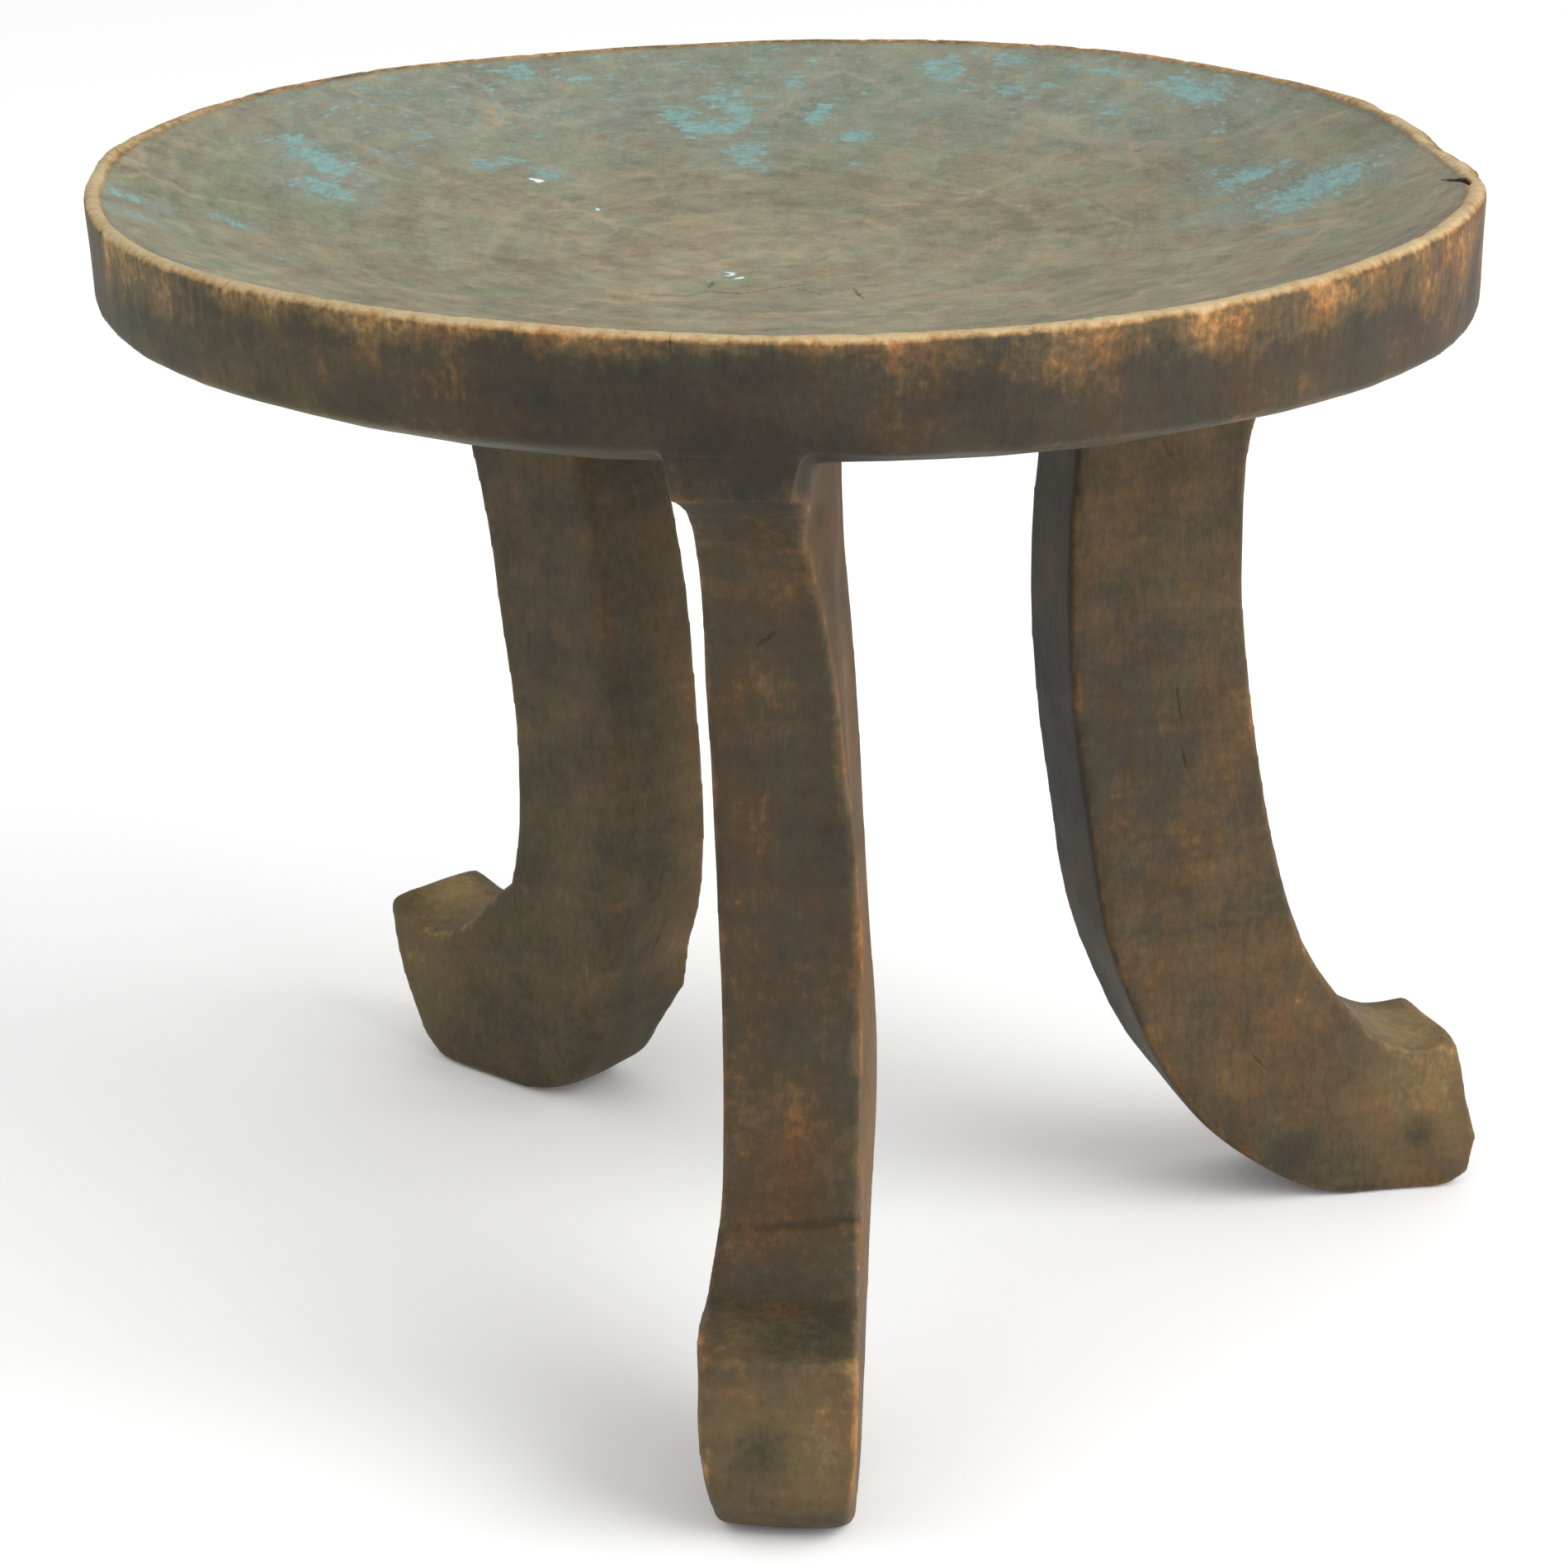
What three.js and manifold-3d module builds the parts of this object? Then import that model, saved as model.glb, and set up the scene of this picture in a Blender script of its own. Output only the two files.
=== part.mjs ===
// A low three-legged stool, carved from one block of hardwood: a round dished seat on three
// curved legs, each with a shoulder under the rim and an up-turned toe.
// Millimetres, +Z up. The origin is on the floor, under the middle of the stool's whole extent.
import * as THREE from 'three';
import { mergeVertices } from 'three/addons/utils/BufferGeometryUtils.js';
import Module from 'manifold-3d';

const wasm = await Module();
wasm.setup();

// Seat
const seatRadius = 170;
const seatHeight = 284;
const lipWidth = 5;
const lipRound = 1.6;
const dishDepth = 27;
const dishRoundness = 2.8;
const wallHeight = 26;
const wallDraft = 1.2;
const wallFootRound = 2.5;
const undersideDrop = 15.5;
const undersideRoundness = 5;
const seatSegments = 96;

// The seat was cut by eye: the wall is taller by wallExtra at one side, and the lip rises and
// falls by rimWave a few times on the way round.
const wallExtra = 5.2;
const wallExtraHeading = 22;
const rimWave = 0.7;
const rimWaves = 4;
const rimWaveHeading = 154;

// The place at the back right where the lip has broken away
const chipHeading = 9;
const chipLength = 96;
const chipDepth = 6.5;
const chipWidth = 14;
const chipTilt = 22;

// Legs. Across is the width of a leg as it is seen from outside the stool, and depth is from its
// outer edge to its inner edge. The throat is the crease over the toe.
const legAcross = 29;
const legDepth = 46;
const shoulderHeight = 13;
const shoulderFaceInset = 0.8;
const shoulderNeck = 36;
const throatHeight = 60;
const throatOut = 0.65;
const toeLength = 36;
const toeHeight = 42;
const toeRound = 1.5;
const edgeRound = 1.5;
const seatGap = 0.3;

// Each leg was cut by eye, so it has a heading and a stance of its own. Offset and reach are
// shares of the radius of the seat: offset is sideways, and reach is from the middle of the
// seat to the outer edge of the shank. Lean is outward and sway is sideways, each for one
// millimetre of height. Throat, toe, rise, foot and depth are shares of the lengths above, flare
// is how strongly the shank curves out, and belly is how full its inner edge is. Dip and
// undercut shape the top and the end of the toe, heel the back of the foot, and splay how much
// the toe spreads sideways.
const legs = [
  {
    name: 'leg_front', heading: 263.2, offset: 0.068, reach: 0.6635, lean: 0.08, sway: -0.034,
    depth: 0.94, belly: 0.14, flare: 1.01, throat: 1.03, toe: 1.0, rise: 1.19, dip: -0.05,
    undercut: 0.11, heel: 0.2, foot: 1.05, splay: 0.14,
  },
  {
    name: 'leg_right', heading: 16, offset: -0.048, reach: 0.67, lean: 0, sway: 0.016,
    depth: 1, belly: 0.006, flare: 1.035, throat: 0.91, toe: 0.925, rise: 0.984, dip: 0.06,
    undercut: -0.13, heel: 0.14, foot: 1.29, splay: 0.03,
  },
  {
    name: 'leg_left', heading: 134.6, offset: -0.153, reach: 0.598, lean: 0.265, sway: -0.003,
    depth: 0.978, belly: -0.03, flare: 0.65, throat: 1.02, toe: 1.515, rise: 1.04, dip: 0.17,
    undercut: 0.28, heel: -0.283, foot: 1.22, splay: 0.03,
  },
];

const wood = {
  seat: { color: 0x6b5a44, roughness: 0.62, metalness: 0 },
  leg: { color: 0x4a3d2c, roughness: 0.7, metalness: 0 },
};

const wallFootRadius = seatRadius - wallDraft;
const wallFootHeight = seatHeight - wallHeight;
const shoulderFaceRadius = wallFootRadius - shoulderFaceInset;
const ledgeHeight = wallFootHeight - shoulderHeight;
const undersideSteps = 12;

// Height of the underside of the seat at a distance from the middle
function undersideHeight(radius) {
  const share = Math.min(radius / wallFootRadius, 1);
  return wallFootHeight - undersideDrop * (1 - share ** undersideRoundness);
}

// Height of the dished top at a distance from the middle
function dishHeight(radius) {
  const share = radius / (seatRadius - lipWidth);
  return seatHeight - lipRound - (dishDepth - lipRound) * (1 - share ** dishRoundness);
}

// Points of a curve of height over distance, from one distance to another
function curvePoints(heightAt, from, to, count) {
  const points = [];
  for (let i = 0; i <= count; i += 1) {
    const radius = from + ((to - from) * i) / count;
    points.push(new THREE.Vector2(radius, heightAt(radius)));
  }
  return points;
}

// Seat: one revolved profile, from the middle of the underside round to the middle of the dish
function seatProfile() {
  const lipInner = seatRadius - lipWidth;
  const points = curvePoints(undersideHeight, 0, wallFootRadius - wallFootRound, undersideSteps);
  points.push(new THREE.Vector2(wallFootRadius - wallFootRound * 0.3, wallFootHeight));
  points.push(new THREE.Vector2(wallFootRadius, wallFootHeight + wallFootRound));
  points.push(new THREE.Vector2(seatRadius, seatHeight - lipRound));
  points.push(new THREE.Vector2(seatRadius - lipRound * 0.3, seatHeight - lipRound * 0.3));
  points.push(new THREE.Vector2(seatRadius - lipRound, seatHeight));
  points.push(new THREE.Vector2(lipInner + lipRound, seatHeight));
  points.push(...curvePoints(dishHeight, lipInner, 0, 16));
  return points;
}

// Solids go to the boolean library with shared vertices, and come back as a plain geometry.
function toSolid(geometry) {
  const bare = new THREE.BufferGeometry();
  bare.setAttribute('position', geometry.getAttribute('position'));
  if (geometry.index) {
    bare.setIndex(geometry.index);
  }
  const merged = mergeVertices(bare, 1e-4);
  const mesh = new wasm.Mesh({
    numProp: 3,
    vertProperties: new Float32Array(merged.getAttribute('position').array),
    triVerts: new Uint32Array(merged.index.array),
  });
  mesh.merge();
  return new wasm.Manifold(mesh);
}

function toGeometry(solid) {
  const mesh = solid.getMesh();
  const geometry = new THREE.BufferGeometry();
  geometry.setAttribute('position', new THREE.BufferAttribute(mesh.vertProperties, 3));
  geometry.setIndex(new THREE.BufferAttribute(mesh.triVerts, 1));
  geometry.computeVertexNormals();
  return geometry;
}

// A revolved solid, made uneven as it was by hand. The first points of its profile are the
// underside and the foot of the wall, and the rest are the lip and the dish.
function revolveBySight(profile, undersideCount) {
  const geometry = new THREE.LatheGeometry(profile, seatSegments);
  geometry.rotateX(Math.PI / 2);
  const position = geometry.getAttribute('position');
  for (let i = 0; i < position.count; i += 1) {
    const heading = THREE.MathUtils.radToDeg(Math.atan2(position.getY(i), position.getX(i)));
    const turned = (from) => THREE.MathUtils.degToRad(heading - from);
    const edgeShare = Math.min(profile[i % profile.length].x / wallFootRadius, 1);
    if (i % profile.length < undersideCount) {
      const towardExtra = (1 + Math.cos(turned(wallExtraHeading))) / 2;
      position.setZ(i, position.getZ(i) - wallExtra * (towardExtra * edgeShare) ** 2);
    } else {
      const wave = Math.cos(rimWaves * turned(rimWaveHeading));
      position.setZ(i, position.getZ(i) + rimWave * wave * edgeShare ** 4);
    }
  }
  return geometry;
}

function makeSeat() {
  const seat = toSolid(revolveBySight(seatProfile(), undersideSteps + 3));
  const cutter = new THREE.BoxGeometry(chipWidth * 2, chipLength, chipDepth * 2);
  cutter.rotateY(THREE.MathUtils.degToRad(chipTilt));
  cutter.translate(seatRadius + chipWidth / 3, 0, seatHeight + chipDepth / 5);
  cutter.rotateZ(THREE.MathUtils.degToRad(chipHeading));
  return toGeometry(seat.subtract(toSolid(cutter)));
}

// All that a leg keeps clear of: the space above the underside of the seat, lowered by the gap,
// and the space outside the shoulder faces, which follow the wall of the seat round
function makeSeatClearance() {
  const outside = seatRadius * 1.2;
  const profile = curvePoints(undersideHeight, 0, shoulderFaceRadius, undersideSteps);
  for (const point of profile) {
    point.y -= seatGap;
  }
  profile.push(new THREE.Vector2(shoulderFaceRadius, ledgeHeight - shoulderNeck / 2));
  profile.push(new THREE.Vector2(outside, ledgeHeight - shoulderNeck / 2));
  profile.push(new THREE.Vector2(outside, seatHeight + 1));
  profile.push(new THREE.Vector2(0, seatHeight + 1));
  return toSolid(revolveBySight(profile, undersideSteps + 1));
}

// Outline of a leg seen from its side: x is the distance from the middle of the stool,
// y is the height. It runs down the outer edge, round the toe and the sole, and up the inner edge.
function legOutline(leg) {
  const throatY = throatHeight * leg.throat;
  const neckY = ledgeHeight - shoulderNeck;
  const shank = (share) => THREE.MathUtils.lerp(throatY, neckY, share);
  const leanAt = (height) => leg.lean * Math.max(height - throatY, 0);
  const edgeX = (height) => seatRadius * leg.reach + leanAt(height);
  const outer = (out, height) => new THREE.Vector2(edgeX(height) + legDepth * out, height);
  const inner = (out, height) => outer(out - leg.depth, height);
  const throat = outer(throatOut * leg.flare, throatY);
  const toeTip = new THREE.Vector2(throat.x + toeLength * leg.toe, toeHeight * leg.rise);
  const toeFoot = toeTip.x - toeLength * leg.undercut;
  const overToe = (share, down) => {
    const point = throat.clone().lerp(toeTip, share);
    return point.setY(point.y - toeHeight * down);
  };
  const ledge = new THREE.Vector2(seatRadius - shoulderFaceInset, ledgeHeight);
  const cove = (share, down) => {
    const x = THREE.MathUtils.lerp(edgeX(neckY), ledge.x, share);
    return new THREE.Vector2(x, ledgeHeight - shoulderNeck * down);
  };

  const outerEdge = new THREE.SplineCurve([
    cove(0.72, 0.06),
    cove(0.4, 0.25),
    cove(0.15, 0.55),
    outer(0.02, neckY),
    outer(0, shank(0.8)),
    outer(0.02, shank(0.67)),
    outer(0.09, shank(0.5)),
    outer(0.2 * leg.flare, shank(0.3)),
    outer(0.39 * leg.flare, shank(0.12)),
    throat,
  ]);
  const toeTop = new THREE.SplineCurve([
    throat,
    overToe(0.25, 0.14),
    overToe(0.6, 0.1 + leg.dip),
    new THREE.Vector2(toeTip.x - toeRound, toeTip.y),
  ]);
  const innerEdge = new THREE.SplineCurve([
    inner(1.58 + leg.heel, 0),
    inner(1.35 + leg.heel, throatY * 0.05),
    inner(1.09 + leg.heel, throatY * 0.18),
    inner(0.76 + leg.heel / 3, throatY * 0.5),
    inner(0.46 - leg.belly / 2, throatY * 0.93),
    inner(0.22 - leg.belly, shank(0.17)),
    inner(0.09 - leg.belly, shank(0.4)),
    inner(0 - leg.belly / 2, shank(0.62)),
    inner(-0.02, shank(0.85)),
    inner(0.02, shank(1.05)),
    inner(-0.09, ledgeHeight),
  ]);
  const drawn = [
    new THREE.Vector2(seatRadius * 1.03, seatHeight),
    new THREE.Vector2(seatRadius * 1.03, ledgeHeight),
    ...outerEdge.getPoints(26),
    ...toeTop.getPoints(9),
    new THREE.Vector2(toeTip.x, toeTip.y - toeRound),
    new THREE.Vector2(toeFoot, toeHeight * 0.29),
    new THREE.Vector2(toeFoot - toeLength * 0.14, toeHeight * 0.08),
    new THREE.Vector2(toeFoot - toeLength * 0.39, 0),
    ...innerEdge.getPoints(28),
    inner(-0.17, seatHeight),
  ];
  return new THREE.Shape(drawn.filter((point, i) => i === 0 || point.distanceTo(drawn[i - 1]) > 1));
}

// A leg is its outline cut through a plank that widens evenly toward the foot, with the edges
// eased and the top trimmed to the underside of the seat.
function makeLeg(leg, seatClearance) {
  const geometry = new THREE.ExtrudeGeometry(legOutline(leg), {
    depth: legAcross - edgeRound * 2,
    steps: 1,
    bevelEnabled: true,
    bevelThickness: edgeRound,
    bevelSize: edgeRound,
    bevelOffset: -edgeRound,
    bevelSegments: 3,
  });
  geometry.translate(0, 0, edgeRound - legAcross / 2);
  geometry.rotateX(Math.PI / 2);
  const position = geometry.getAttribute('position');
  const throatX = seatRadius * leg.reach + legDepth * throatOut * leg.flare;
  for (let i = 0; i < position.count; i += 1) {
    const height = position.getZ(i);
    const overToe = THREE.MathUtils.smoothstep(position.getX(i), throatX, throatX + toeLength);
    const across = THREE.MathUtils.lerp(leg.foot, 1, height / wallFootHeight) + leg.splay * overToe;
    const sideways = seatRadius * leg.offset + leg.sway * (height - seatHeight / 2);
    position.setY(i, position.getY(i) * across + sideways);
  }
  geometry.rotateZ(THREE.MathUtils.degToRad(leg.heading));
  return toGeometry(toSolid(geometry).subtract(seatClearance));
}

function addPiece(group, name, geometry, finish) {
  const mesh = new THREE.Mesh(geometry, new THREE.MeshStandardMaterial(finish));
  mesh.name = name;
  group.add(mesh);
}

const stool = new THREE.Group();
addPiece(stool, 'seat_dish', makeSeat(), wood.seat);
const seatClearance = makeSeatClearance();
for (const leg of legs) {
  addPiece(stool, leg.name, makeLeg(leg, seatClearance), wood.leg);
}

// The whole stool is moved so that its extent is centred over the origin.
const middle = new THREE.Box3().setFromObject(stool, true).getCenter(new THREE.Vector3());
for (const piece of stool.children) {
  piece.geometry.translate(-middle.x, -middle.y, 0);
}

export default stool;
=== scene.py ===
"""A low three-legged stool, carved from one block of hardwood: the look of its wood.

The file is laid out as an add-on. Sizes and colours are properties, the pieces are made by
operators, and a panel in the sidebar of the 3D view lists them.
"""

import itertools
import math

import bpy
import numpy as np
from bpy.props import FloatProperty, FloatVectorProperty, IntProperty, PointerProperty
from bpy.types import Operator, Panel, PropertyGroup
from mathutils import Matrix, Vector
from mathutils.bvhtree import BVHTree


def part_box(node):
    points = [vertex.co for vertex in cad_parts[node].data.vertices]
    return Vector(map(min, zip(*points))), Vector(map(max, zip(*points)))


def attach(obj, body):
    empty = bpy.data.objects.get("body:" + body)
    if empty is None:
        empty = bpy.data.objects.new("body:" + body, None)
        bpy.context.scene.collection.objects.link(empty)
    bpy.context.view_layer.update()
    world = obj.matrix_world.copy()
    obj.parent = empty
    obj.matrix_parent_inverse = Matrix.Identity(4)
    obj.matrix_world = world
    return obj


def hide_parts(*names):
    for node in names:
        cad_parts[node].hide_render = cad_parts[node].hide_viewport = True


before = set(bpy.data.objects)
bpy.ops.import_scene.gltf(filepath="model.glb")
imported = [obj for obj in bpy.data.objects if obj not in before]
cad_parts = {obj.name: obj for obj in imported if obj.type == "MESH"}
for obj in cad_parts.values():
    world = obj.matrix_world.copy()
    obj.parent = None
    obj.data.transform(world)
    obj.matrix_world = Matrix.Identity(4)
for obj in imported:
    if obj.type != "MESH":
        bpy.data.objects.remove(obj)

bl_info = {
    "name": "Carved stool",
    "version": (1, 0, 0),
    "blender": (4, 5, 0),
    "location": "View3D > Sidebar > Stool",
    "description": "Carves a worn three-legged stool around its packed solids",
    "category": "Object",
}

MM = 0.001
BODY = "root"
SEAT = "seat_dish"
LEGS = ("leg_front", "leg_right", "leg_left")
SEAT_LOW, SEAT_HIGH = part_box(SEAT)
SEAT_MIDDLE = Vector(((SEAT_LOW.x + SEAT_HIGH.x) / 2, (SEAT_LOW.y + SEAT_HIGH.y) / 2, 0))

# The block is parted by height: all above the first is seat, and all below the second is legs.
# Between them the legs reach this far to each side of their middle planes.
ALL_SEAT_ABOVE = 262
ALL_LEGS_BELOW = 235
SHOULDER_REACH = 45

# Up to this height the soles stay flat on the floor
SOLE_GUARD = 1.5

# How far a patch of paint spreads past its half length and half width
PATCH_SPREAD = 2.3

# The camera: the picture's width and the focal length in pixels, the sensor's width in
# millimetres, the angles in radians, and the place from the middle of the seat at floor height
PICTURE_WIDTH = 1900
FOCAL_PIXELS = 5502
SENSOR_WIDTH = 36
CAMERA_PITCH = 0.34517
CAMERA_ROLL = 0.00924
CAMERA_PLACE = (-1.673, -1094.215, 516.94)

# In all the lists of marks, places are in millimetres: x and y from the middle of the seat, z from
# the floor. Headings are in degrees, from the right of the seat round by the back.

# Spots where the block is pushed: place, reach, and how far in x, y and z
PUSHES = (
    (-78, 94, 121, 26, 1.2, 0, 0), (-81, 96, 155, 22, 0.8, 0, 0), (-100, 141, 43, 12, 0, 0, 0.8),
    (-97, 109, 2, 13, -1, -0.9, 0), (-39, 89, 17, 13, -1.3, 0, 0.8), (-27, 83, 59, 24, 1.5, 0, 0),
    (18, -88, 86, 24, 1.5, 0, 0), (17, -106, 66, 14, 0.9, 0, 0), (12, -94, 221, 26, -0.8, 0, 0),
    (-20, -151, 55, 14, -2.2, 0, 0), (-21, -177, 42, 7, 0.8, 0, 0), (84, 17, 58, 15, 1.2, 0, 0),
    (105, 12, 20, 15, -1, -0.4, -0.8), (141, 10, 3, 14, 0, 1.4, 0), (174, 19, 4, 9, 0.6, -1.2, 0),
    (178, 21, 25, 8, -0.8, 0, 0), (-164, 23, 284, 20, -1.2, 0.3, 0.7), (-166, -10, 284, 14, -0.5, 0, 0),
    (163, 25, 283, 20, -1.3, -0.3, -0.6), (166, -15, 283, 16, -1, 0, -0.4),
    (153, 66, 283, 5, -0.6, -0.3, -0.7), (163, 30, 283, 5, -0.5, 0, -0.6), (172, 21, 3, 10, 4, 0, 0),
)

# Lines along which an edge is shifted: reach, and the places with how far in x, y and z
EDGE_SHIFTS = (
    (13, ((7, -134, 228, -3.4, 0, 0), (9.5, -125, 195, 0.5, 0, 0), (10.7, -123, 170, 1.6, 0, 0),
          (11.4, -123, 150, 3.4, 0, 0), (12, -125, 125, 4, 0, 0), (12.6, -128, 100, 3, 0, 0),
          (12.6, -136, 75, 2.2, 0, 0), (11.6, -146, 60, 2.8, 0, 0), (10.5, -180, 45, 3, 0, 0),
          (12, -177, 15, 1, 0, 0))),
    (9, ((-28, -166, 247, 2, 0, 2.4), (-10, -167, 246, 0, 0, 2.6), (4, -168, 247, -3, 0, 2.6))),
    (12, ((-24, 83, 105, -0.6, 0, 0), (-23, 83, 75, -1.7, 0, 0), (-28, 88, 45, -2, 0, 0),
          (-31, 92, 30, 1, 0, 0), (-35, 95, 15, -2.6, 0, 0), (-45, 105, 3, -4, 0, 0))),
    (9, ((-108, 121, 41, 0, 0, -0.6), (-99, 112, 41, 0, -0.4, -1.8), (-88, 106, 43, 0, -0.8, -3))),
    (8, ((-21, -175, 10, 0.8, 0, 0), (-21, -174, 2, 2.6, 0, 0))),
    (7, ((13, -176, 8, -0.6, 0, 0), (13, -174, 2, -2.4, 0, 0))),
)

# Edges that hands and feet have worn to bare wood, as lines: reach, strength and the places
WORN_EDGES = (
    (2.8, 1, ((-4, -166, 249), (1, -167, 249), (4, -150, 238), (4, -134, 228), (8, -128, 212),
              (10, -125, 195), (12.3, -123, 170), (14.8, -123, 150), (16, -125, 125),
              (15.6, -128, 100))),
    (1.6, 0.3, ((15.6, -128, 100), (14.8, -136, 75), (14.4, -146, 60), (13.6, -178, 46),
                (13, -178, 25))),
)

# Painted light and shade on whole faces, for light from the right: the right face of the front leg
# painted lighter and redder, the inner face of the right leg painted darker and greener. Piece, the
# direction that the face looks in, light, warm
PAINTED_FACE_LIGHT = (
    ("leg_front", (1, 0, 0), 0.55, 0.3), ("leg_right", (-0.95, -0.3, 0), -0.5, -0.2),
)

# Edges that are worn quite smooth, as lines: reach, and the places
SMOOTH_EDGES = (
    (13, ((-61, 80, 228), (-55, 74, 195), (-51, 69, 170), (-48.6, 66, 150), (-46.8, 64, 125),
          (-45, 62, 100), (-45, 61, 75), (-47, 63, 60), (-50, 66, 45), (-54, 69, 30), (-58, 73, 15),
          (-66, 81, 4))),
)

# Corners that are worn round: place and reach
ROUND_CORNERS = (
    (-22, -178, 4, 12), (13, -178, 4, 12), (-67, 83, 3, 11), (-22, -177, 49, 5), (-92, 148, 43, 12),
    (180, 22, 40, 7), (178, 52, 40, 13), (-105, 145, 44, 14), (-112, 128, 44, 10), (-45, 104, 4, 12),
    (-112, 125, 4, 13), (-38, 90, 8, 14), (14, -168, 250, 6), (-18, -168, 250, 4),
)

# Cracks, scratches and cuts: half width, depth, and the places that the line runs through
CRACKS = (
    (0.5, 1.6, ((-39, -24, 258), (-32, -21.7, 258), (-25, -23, 258), (-18.6, -17.5, 258),
                (-10.6, -20.2, 258), (-2.4, -14.3, 258), (1.1, -11.8, 258), (3, -9, 258))),
    (0.35, 0.7, ((1, -14, 258), (8, -21, 258), (17.9, -24.3, 258))),
    (0.4, 0.9, ((-18.5, -6, 258), (-18.1, -9, 258), (-19.5, -15, 258))),
    (0.4, 0.9, ((16, -15, 258), (17.2, -21, 258), (18.6, -29, 258))),
    (0.8, 2.2, ((159, -5, 281), (162, -11, 281), (163.6, -20, 283), (163, -27, 284))),
    (0.2, 0.4, ((-24.5, -167, 284.5), (-25, -169, 282), (-24.7, -169, 279))),
    (1.5, 0.8, ((-19, -139, 63.5), (-10, -141, 65.3), (-3, -142, 66.5), (5, -142, 66.9),
                (14, -142, 67.9), (17, -135, 66), (18, -127, 61))),
    (0.7, 0.35, ((94, 0, 214), (96, 1, 209), (98, 4, 206))),
    (0.3, 0.35, ((99, 1, 150), (100, 1, 141), (101, 1, 137))),
    (0.5, 0.45, ((100.5, 2, 131), (101.5, 2, 126))),
    (0.4, 0.4, ((-36, 75, 53), (-40, 76, 46))),
    (0.3, 0.35, ((120, 5, 45), (126, 5, 39))),
    (0.35, 0.5, ((-3, -126, 205), (-9, -126, 200))),
)

# Wear on the wall of the seat: heading, half width, depth below the lip, strength
WALL_WEAR = (
    (185, 14, 9, 0.6), (205, 14, 17, 0.75), (225, 10, 8, 0.7), (237, 8, 8, 0.85), (246, 5, 5, 0.7),
    (256, 5, 10, 1), (265, 6, 5, 0.8), (272, 5, 5, 0.7), (281, 6, 14, 0.65), (290, 5, 17, 0.8),
    (303, 8, 15, 0.85), (317, 11, 15, 0.95), (335, 13, 24, 0.8), (350, 12, 26, 0.7), (20, 20, 8, 0.6),
    (60, 25, 6, 0.5), (110, 30, 7, 0.55), (160, 25, 9, 0.6),
)

# What is left of the paint in the dish: x, y, half length and half width of the patch, cover
PAINT = (
    (-72, 143, 4, 3, 0.9), (-57, 145, 5, 2, 0.8), (-46, 155, 6, 2, 0.6), (-32, 157, 8, 2, 0.6),
    (-28, 128, 4, 6, 0.9), (-17, 140, 4, 4, 0.9), (-12, 133, 2, 6, 1), (-20, 123, 6, 3, 1),
    (-11, 106, 3, 5, 0.9), (-5, 98, 2, 2, 0.7), (8, 128, 2, 3, 0.9), (2, 148, 4, 3, 0.6),
    (-42, 130, 3, 4, 0.4), (-50, 132, 3, 3, 0.4), (-69, 126, 5, 4, 0.6), (-78, 128, 4, 4, 0.6),
    (-83, 111, 2, 2, 0.7), (-95, 97, 2, 2, 0.7), (-91, 108, 2, 2, 0.6), (-127, 73, 4, 3, 0.9),
    (-122, 67, 4, 4, 1), (-116, 63, 4, 4, 1), (-118, 47, 4, 4, 1), (-113, 44, 2, 3, 0.9),
    (-128, 57, 3, 3, 0.6), (-136, 73, 2, 2, 0.6), (-102, 79, 3, 2, 0.7), (-98, 78, 2, 2, 0.7),
    (-106, 81, 2, 2, 0.7), (-80, 86, 2, 2, 1), (-73, 91, 3, 2, 0.9), (-62, 85, 2, 2, 1),
    (-66, 88, 2, 2, 0.8), (-151, 53, 3, 4, 0.35), (-161, -8, 2, 6, 0.9), (-157, -24, 2, 4, 0.8),
    (-138, 1, 2, 2, 0.8), (-134, -1, 2, 2, 0.8), (-122, -26, 2, 4, 0.5), (-156, 24, 3, 5, 0.4),
    (-117, 101, 4, 5, 0.45), (-111, 118, 4, 4, 0.3), (-101, 118, 4, 3, 0.35), (-7, 150, 4, 3, 0.6),
    (3, 148, 3, 3, 0.8), (10, 131, 2, 3, 1), (18, 116, 3, 2, 1), (19, 98, 2, 2, 0.7),
    (-9, 109, 3, 4, 0.9), (-6, 97, 2, 2, 0.8), (44, 149, 5, 5, 0.9), (55, 150, 5, 2, 0.6),
    (63, 148, 4, 2, 0.9), (61, 133, 2, 2, 1), (71, 133, 2, 2, 0.8), (80, 138, 3, 2, 0.7),
    (88, 133, 4, 2, 0.9), (95, 129, 2, 2, 0.8), (107, 116, 5, 3, 1), (112, 108, 5, 3, 1),
    (116, 111, 2, 3, 0.9), (88, 112, 3, 3, 0.8), (97, 103, 5, 4, 0.4), (98, 90, 5, 4, 0.4),
    (114, 84, 2, 2, 0.7), (118, 49, 3, 5, 1), (110, 58, 3, 5, 0.7), (111, 42, 2, 3, 0.8),
    (131, 25, 5, 9, 1), (136, 31, 4, 7, 1), (125, 15, 3, 4, 1), (140, 39, 3, 5, 0.7),
    (121, -10, 2, 4, 0.6), (129, -33, 2, 4, 0.5), (138, -22, 2, 4, 0.5), (145, -33, 2, 6, 0.4),
    (154, -16, 2, 4, 0.4), (128, 52, 2, 2, 0.7), (85, 85, 4, 4, 0.4), (46, 113, 2, 2, 0.6),
    (28, 132, 4, 4, 0.35), (34, 156, 7, 2, 0.3), (-59, 155, 9, 2, 0.4), (-88, 139, 7, 2, 0.4),
    (148, 37, 4, 7, 0.4), (149, 2, 2, 8, 0.4), (-144, 40, 4, 7, 0.35),
)

# Specks of white paint: x, y
WHITE_SPECKS = ((-65.3, 80.2), (-63.6, 78.9), (-49.4, 61.3), (-13.3, 0.8), (-11.9, -2.7))
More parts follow.
